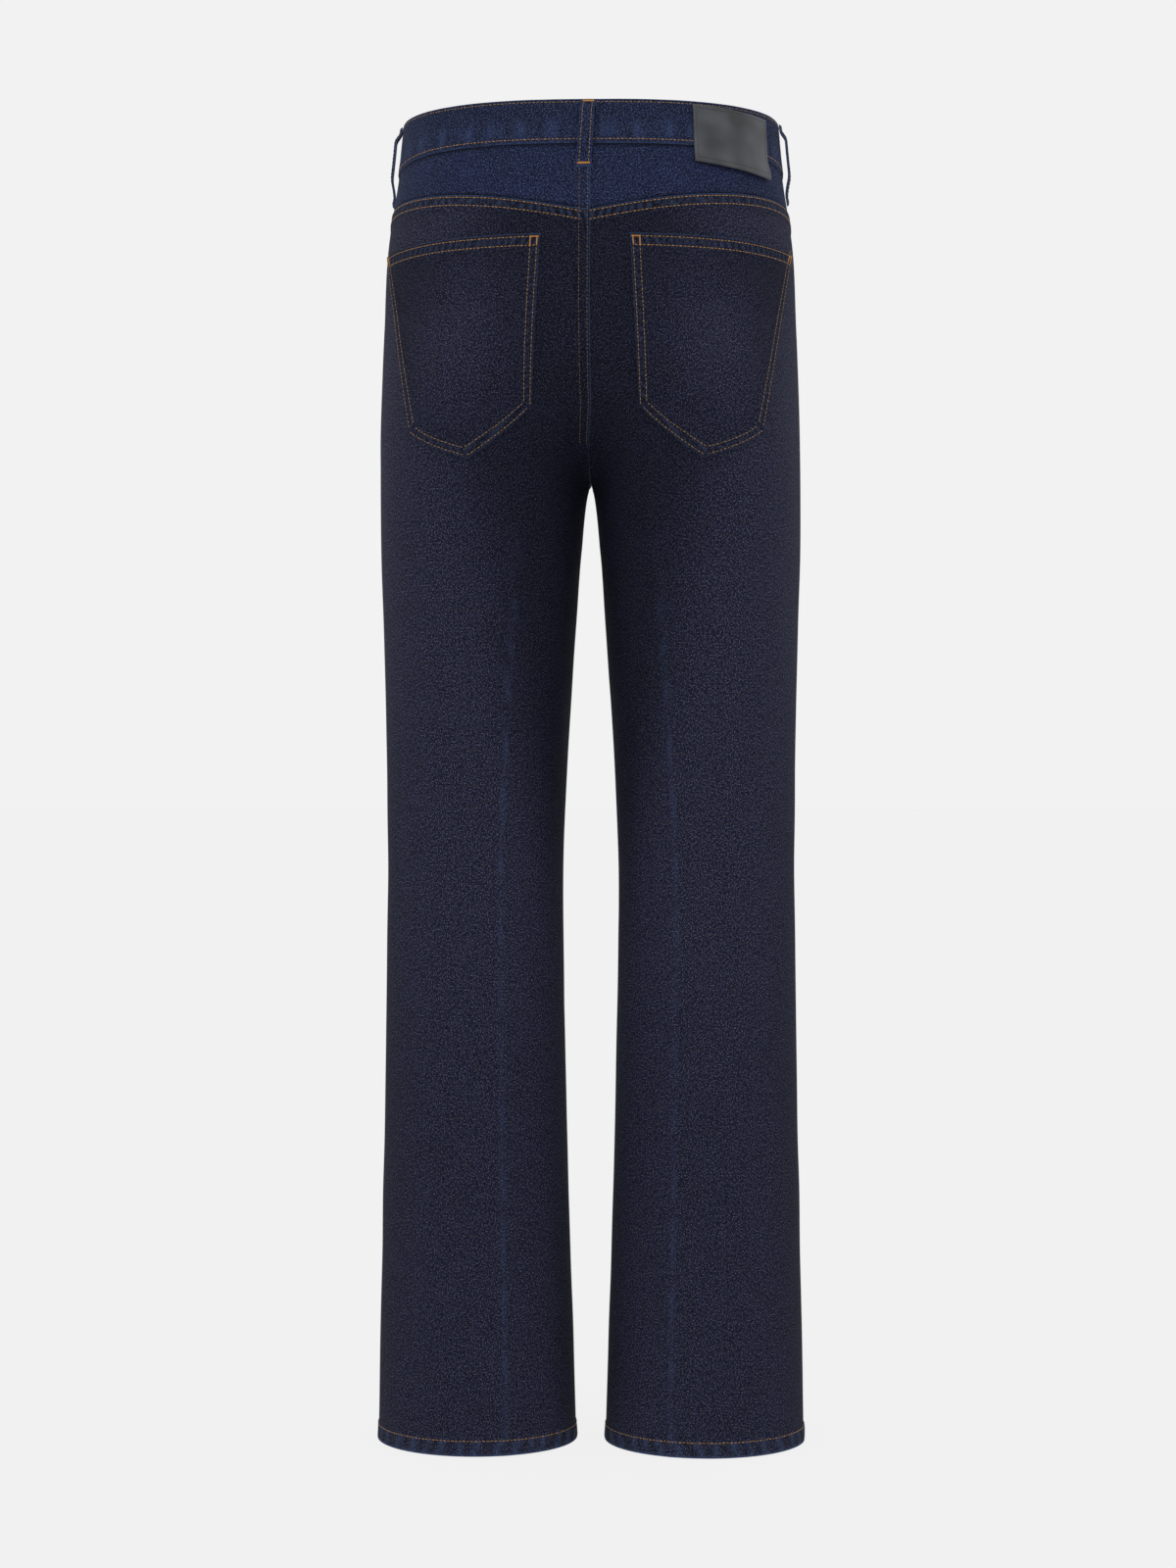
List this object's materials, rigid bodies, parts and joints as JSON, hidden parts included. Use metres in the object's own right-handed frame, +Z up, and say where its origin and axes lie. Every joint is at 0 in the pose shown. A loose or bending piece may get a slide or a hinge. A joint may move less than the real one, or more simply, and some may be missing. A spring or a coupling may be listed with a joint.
{
  "type": "straight leg jeans",
  "caption": "Straight leg denim jeans filled out as if worn, hollow and open at waist and hems, with back yoke, patch pockets, belt loops, fly and a bare leather patch.",
  "frame": {"origin": "centre of the waist opening, level with the waistband's top edge, where a wearer's waist holds the jeans up", "axes": "+Z up; the wearer faces -Y, so the back pockets face +Y and the wearer's left leg is at +X"},
  "size_m": [0.3506, 0.2628, 1.0804],
  "materials": {
    "denim": "dark indigo right-hand twill denim, rinsed, with tobacco and gold topstitching",
    "waistband_denim": "the same denim cut along the grain, slightly bluer, with worn light blue edges",
    "black_leather": "smooth dark grey leather with a pressed border line, bare inside it",
    "zip_tape": "woven navy zip tape with a fine metal chain",
    "brass": "aged brass, plain and unmarked"
  },
  "bodies": {
    "root": {"back_left": "denim", "back_right": "denim", "front_left": "denim", "front_right": "denim", "yoke_left": "denim", "yoke_right": "denim", "back_pocket_left": "denim", "back_pocket_right": "denim", "hip_facing_left": "denim", "hip_facing_right": "denim", "fly_shield": "denim", "waistband": "waistband_denim", "belt_loop_back": "waistband_denim", "belt_loop_side_left": "waistband_denim", "belt_loop_side_right": "waistband_denim", "belt_loop_front_left": "waistband_denim", "belt_loop_front_right": "waistband_denim", "leather_patch": "black_leather", "fly_zip": "zip_tape", "zip_slider": "brass", "waist_button": "brass"}
  },
  "joints": []
}
